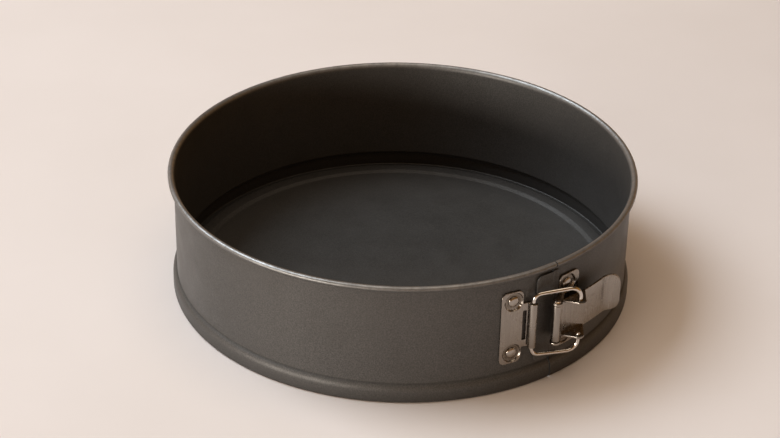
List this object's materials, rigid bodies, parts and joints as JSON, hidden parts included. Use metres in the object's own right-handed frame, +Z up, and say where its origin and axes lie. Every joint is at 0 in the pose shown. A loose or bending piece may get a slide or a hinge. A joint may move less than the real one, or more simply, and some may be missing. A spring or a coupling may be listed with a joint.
{
  "type": "springform cake pan",
  "caption": "Round springform cake pan with straight walls, rolled rim, grooved foot, loose base and a wire-bail toggle latch on the side.",
  "frame": {"origin": "on the pan's vertical axis, in the plane that the pan stands on", "axes": "+Z up out of the open mouth; -Y faces the latch; +X is to the right when looking at the latch"},
  "size_m": [0.236, 0.2469, 0.0643],
  "materials": {
    "band_coating": "satin dark grey non-stick coating on steel sheet",
    "base_coating": "satin dark grey non-stick coating on steel sheet",
    "latch_steel": "plated pressed steel, softly polished",
    "rivet_steel": "plated steel, polished by setting",
    "wire_steel": "bright plated spring wire"
  },
  "bodies": {
    "right_half": {"band_right": "band_coating", "lever_bracket": "latch_steel", "bracket_rivet_upper": "rivet_steel", "bracket_rivet_lower": "rivet_steel", "lever_pin": "wire_steel"},
    "left_half": {"band_left": "band_coating", "hook_plate": "latch_steel", "hook_rivet_upper": "rivet_steel", "hook_rivet_lower": "rivet_steel"},
    "lever": {"lever": "latch_steel"},
    "bail": {"wire_bail": "wire_steel"},
    "base": {"base_plate": "base_coating"}
  },
  "joints": [
    {"name": "lever_pivot", "type": "hinge", "parent": "right_half", "child": "lever", "pos_m": [-0.00555, -0.12217, 0.0346], "axis": [0, 0, -1], "range_deg": [0, 130]},
    {"name": "band_spring", "type": "hinge", "parent": "right_half", "child": "left_half", "pos_m": [0, 0.116, 0.032], "axis": [0, 0, -1], "range_deg": [0, 4.65]},
    {"name": "bail_swing", "type": "hinge", "parent": "left_half", "child": "bail", "pos_m": [-0.01581, -0.11694, 0.0346], "axis": [0, 0, -1], "range_deg": [0, 8.32]},
    {"name": "base_lift", "type": "slide", "parent": "right_half", "child": "base", "axis": [0, 0, 1], "range_m": [0, 0.09]}
  ],
  "couplings": [
    {"joint": "band_spring", "follows": "lever_pivot", "ratio": 0.03568},
    {"joint": "bail_swing", "follows": "lever_pivot", "ratio": 0.063959}
  ]
}
